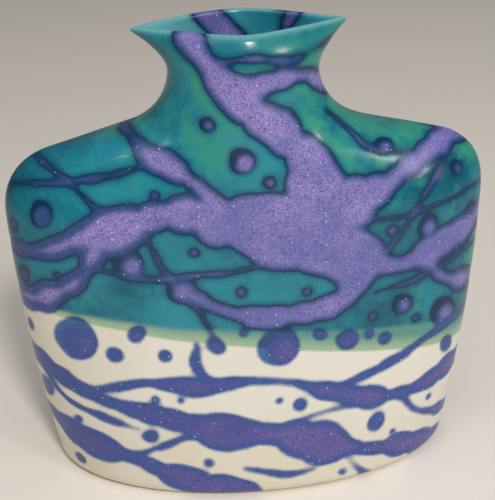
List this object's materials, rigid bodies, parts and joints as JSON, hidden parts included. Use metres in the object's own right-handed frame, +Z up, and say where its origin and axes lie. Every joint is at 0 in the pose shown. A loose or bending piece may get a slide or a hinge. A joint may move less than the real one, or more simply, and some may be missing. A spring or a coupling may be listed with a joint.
{
  "type": "pillow vase",
  "caption": "Small pillow-shaped stoneware vase with flat sloping shoulders, a short neck and a flared rim pinched at both seams; dipped and splashed glaze over a recessed foot.",
  "frame": {"origin": "middle of the foot, on the surface that the vase stands on", "axes": "+Z up through the neck, +X to the right along the seam plane, -Y out of the front face"},
  "size_m": [0.11, 0.0488, 0.1098],
  "materials": {
    "dipped_glaze": "gloss glaze, teal over cream, with splashed blue and violet trails",
    "cream_glaze": "satin cream glaze, with a bare clay foot ring"
  },
  "bodies": {
    "root": {"front_half": "dipped_glaze", "rear_half": "dipped_glaze", "base_slab": "cream_glaze"}
  },
  "joints": []
}
